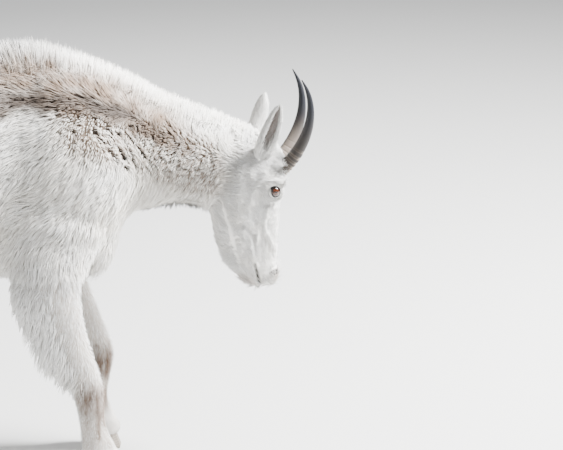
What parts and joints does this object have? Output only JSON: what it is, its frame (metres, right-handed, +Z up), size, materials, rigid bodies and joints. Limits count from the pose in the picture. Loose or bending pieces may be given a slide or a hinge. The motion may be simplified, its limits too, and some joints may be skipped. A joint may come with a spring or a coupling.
{
  "type": "mountain goat",
  "caption": "Life-size mountain goat in a summer coat, standing with its head lowered; slim black horns, upright crest hair and shaggy hair behind the legs.",
  "frame": {"origin": "on the ground under the middle of the animal's outline", "axes": "+X is the way the animal faces, +Y its left side, +Z up"},
  "size_m": [1.6186, 0.376, 1.0342],
  "materials": {
    "coat": "matt fur",
    "horn": "satin, ringed near the base",
    "hoof": "worn",
    "eye": "wet gloss"
  },
  "bodies": {
    "root": {"chest": "coat", "barrel": "coat", "rump": "coat", "tail": "coat", "neck": "coat", "head": "coat", "foreleg_right_forearm": "coat", "foreleg_right_cannon": "coat", "foreleg_right_claw_inner": "hoof", "foreleg_right_dewclaw_inner": "hoof", "foreleg_right_claw_outer": "hoof", "foreleg_right_dewclaw_outer": "hoof", "foreleg_left_forearm": "coat", "foreleg_left_cannon": "coat", "foreleg_left_claw_inner": "hoof", "foreleg_left_dewclaw_inner": "hoof", "foreleg_left_claw_outer": "hoof", "foreleg_left_dewclaw_outer": "hoof", "hindleg_right_shank": "coat", "hindleg_right_cannon": "coat", "hindleg_right_claw_inner": "hoof", "hindleg_right_dewclaw_inner": "hoof", "hindleg_right_claw_outer": "hoof", "hindleg_right_dewclaw_outer": "hoof", "hindleg_left_shank": "coat", "hindleg_left_cannon": "coat", "hindleg_left_claw_inner": "hoof", "hindleg_left_dewclaw_inner": "hoof", "hindleg_left_claw_outer": "hoof", "hindleg_left_dewclaw_outer": "hoof", "horn_right": "horn", "ear_right": "coat", "eye_right": "eye", "horn_left": "horn", "ear_left": "coat", "eye_left": "eye"}
  },
  "joints": []
}
